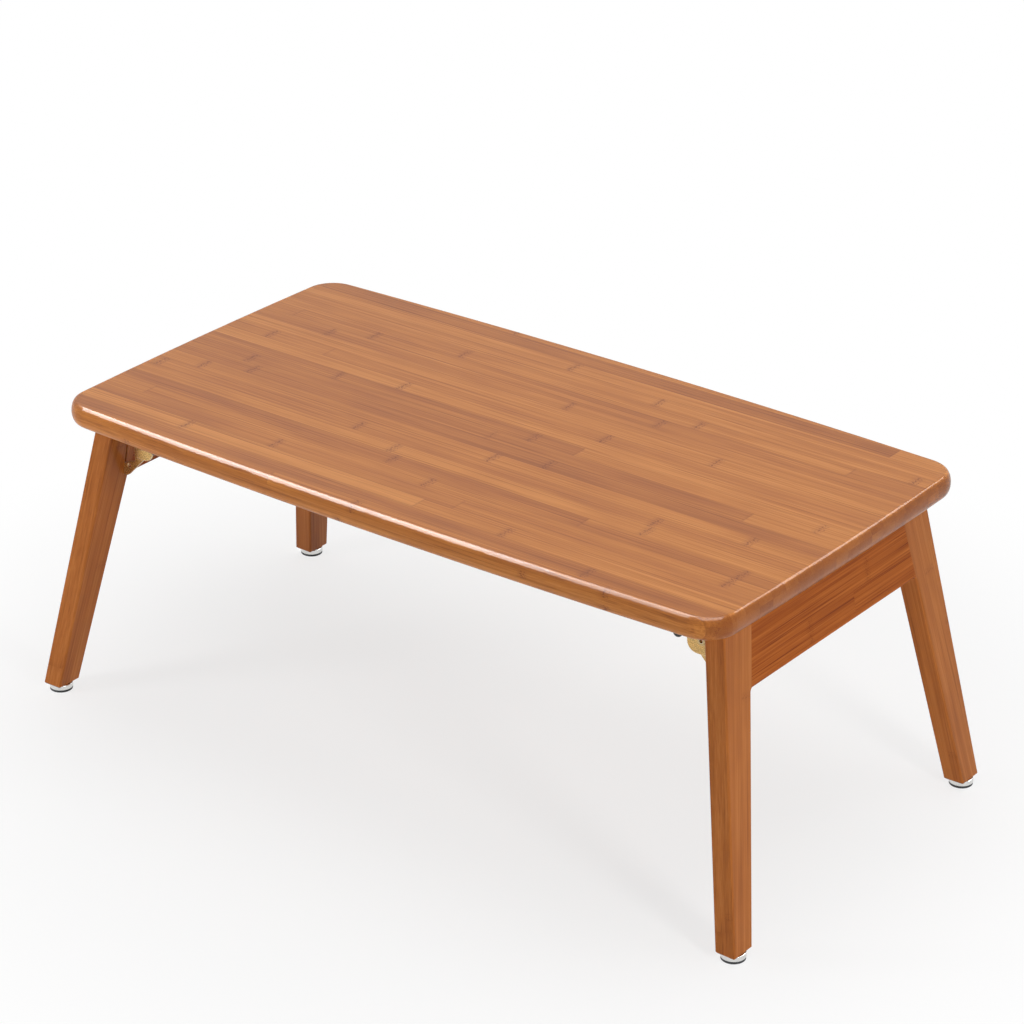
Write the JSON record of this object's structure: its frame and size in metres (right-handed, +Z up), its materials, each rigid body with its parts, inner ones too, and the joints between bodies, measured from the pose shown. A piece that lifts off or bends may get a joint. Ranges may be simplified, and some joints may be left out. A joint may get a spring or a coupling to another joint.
{
  "type": "folding low table",
  "caption": "Low folding table in laminated bamboo: a bow-sided top on splayed leg frames that fold flat on locking metal brackets.",
  "frame": {"origin": "on the floor, under the middle of the top", "axes": "+X along the length to the right, +Y across the width to the back, +Z up"},
  "size_m": [0.8672, 0.438, 0.336],
  "materials": {
    "bamboo_top": "semi-gloss clear lacquer over carbonised laminated bamboo",
    "bamboo_frame": "semi-gloss clear lacquer over carbonised laminated bamboo",
    "dowel_wood": "raw",
    "bracket_zinc": "yellow zinc plated pressed steel, satin",
    "rivet_zinc": "yellow zinc plated steel, satin",
    "screw_zinc": "yellow zinc plated steel, satin",
    "spring_steel": "bright spring wire",
    "nail_steel": "plain",
    "glide_nickel": "dull nickel plate",
    "glide_rubber": "matte",
    "knob_plastic": "gloss black"
  },
  "bodies": {
    "tabletop": {"tabletop": "bamboo_top", "pivot_rivets": "rivet_zinc", "lever_rivets": "rivet_zinc", "table_screws": "screw_zinc", "table_plate_back_right": "bracket_zinc", "table_plate_front_right": "bracket_zinc", "table_plate_back_left": "bracket_zinc", "table_plate_front_left": "bracket_zinc", "lock_spring_back_right": "spring_steel", "lock_spring_front_right": "spring_steel", "lock_spring_back_left": "spring_steel", "lock_spring_front_left": "spring_steel"},
    "leg_frame_right": {"leg_back_right": "bamboo_frame", "leg_front_right": "bamboo_frame", "apron_right": "bamboo_frame", "apron_dowels_right": "dowel_wood", "leg_plate_back_right": "bracket_zinc", "leg_plate_front_right": "bracket_zinc", "plate_pins_right": "nail_steel", "glide_cup_back_right": "glide_nickel", "glide_cup_front_right": "glide_nickel", "glide_pad_back_right": "glide_rubber", "glide_pad_front_right": "glide_rubber", "glide_nails_right": "nail_steel"},
    "leg_frame_left": {"leg_back_left": "bamboo_frame", "leg_front_left": "bamboo_frame", "apron_left": "bamboo_frame", "apron_dowels_left": "dowel_wood", "leg_plate_back_left": "bracket_zinc", "leg_plate_front_left": "bracket_zinc", "plate_pins_left": "nail_steel", "glide_cup_back_left": "glide_nickel", "glide_cup_front_left": "glide_nickel", "glide_pad_back_left": "glide_rubber", "glide_pad_front_left": "glide_rubber", "glide_nails_left": "nail_steel"},
    "lock_back_right": {"lock_lever_back_right": "bracket_zinc", "lock_pin_back_right": "rivet_zinc", "lock_knob_back_right": "knob_plastic"},
    "lock_front_right": {"lock_lever_front_right": "bracket_zinc", "lock_pin_front_right": "rivet_zinc", "lock_knob_front_right": "knob_plastic"},
    "lock_back_left": {"lock_lever_back_left": "bracket_zinc", "lock_pin_back_left": "rivet_zinc", "lock_knob_back_left": "knob_plastic"},
    "lock_front_left": {"lock_lever_front_left": "bracket_zinc", "lock_pin_front_left": "rivet_zinc", "lock_knob_front_left": "knob_plastic"}
  },
  "joints": [
    {"name": "fold_right", "type": "hinge", "parent": "tabletop", "child": "leg_frame_right", "pos_m": [0.34217, 0, 0.28], "axis": [0, 1, 0], "range_deg": [0, 100]},
    {"name": "fold_left", "type": "hinge", "parent": "tabletop", "child": "leg_frame_left", "pos_m": [-0.34217, 0, 0.28], "axis": [0, -1, 0], "range_deg": [0, 100]},
    {"name": "lever_back_right", "type": "hinge", "parent": "tabletop", "child": "lock_back_right", "pos_m": [0.34592, 0.1533, 0.29888], "axis": [0, 1, 0], "range_deg": [0, 24], "deforming": ["lock_spring_back_right"]},
    {"name": "lever_front_right", "type": "hinge", "parent": "tabletop", "child": "lock_front_right", "pos_m": [0.34592, -0.1533, 0.29888], "axis": [0, 1, 0], "range_deg": [0, 24], "deforming": ["lock_spring_front_right"]},
    {"name": "lever_back_left", "type": "hinge", "parent": "tabletop", "child": "lock_back_left", "pos_m": [-0.34592, 0.1533, 0.29888], "axis": [0, -1, 0], "range_deg": [0, 24], "deforming": ["lock_spring_back_left"]},
    {"name": "lever_front_left", "type": "hinge", "parent": "tabletop", "child": "lock_front_left", "pos_m": [-0.34592, -0.1533, 0.29888], "axis": [0, -1, 0], "range_deg": [0, 24], "deforming": ["lock_spring_front_left"]}
  ],
  "couplings": [
    {"joint": "lever_back_right", "follows": "fold_right", "ratio": 0.24},
    {"joint": "lever_front_right", "follows": "fold_right", "ratio": 0.24},
    {"joint": "lever_back_left", "follows": "fold_left", "ratio": 0.24},
    {"joint": "lever_front_left", "follows": "fold_left", "ratio": 0.24}
  ]
}
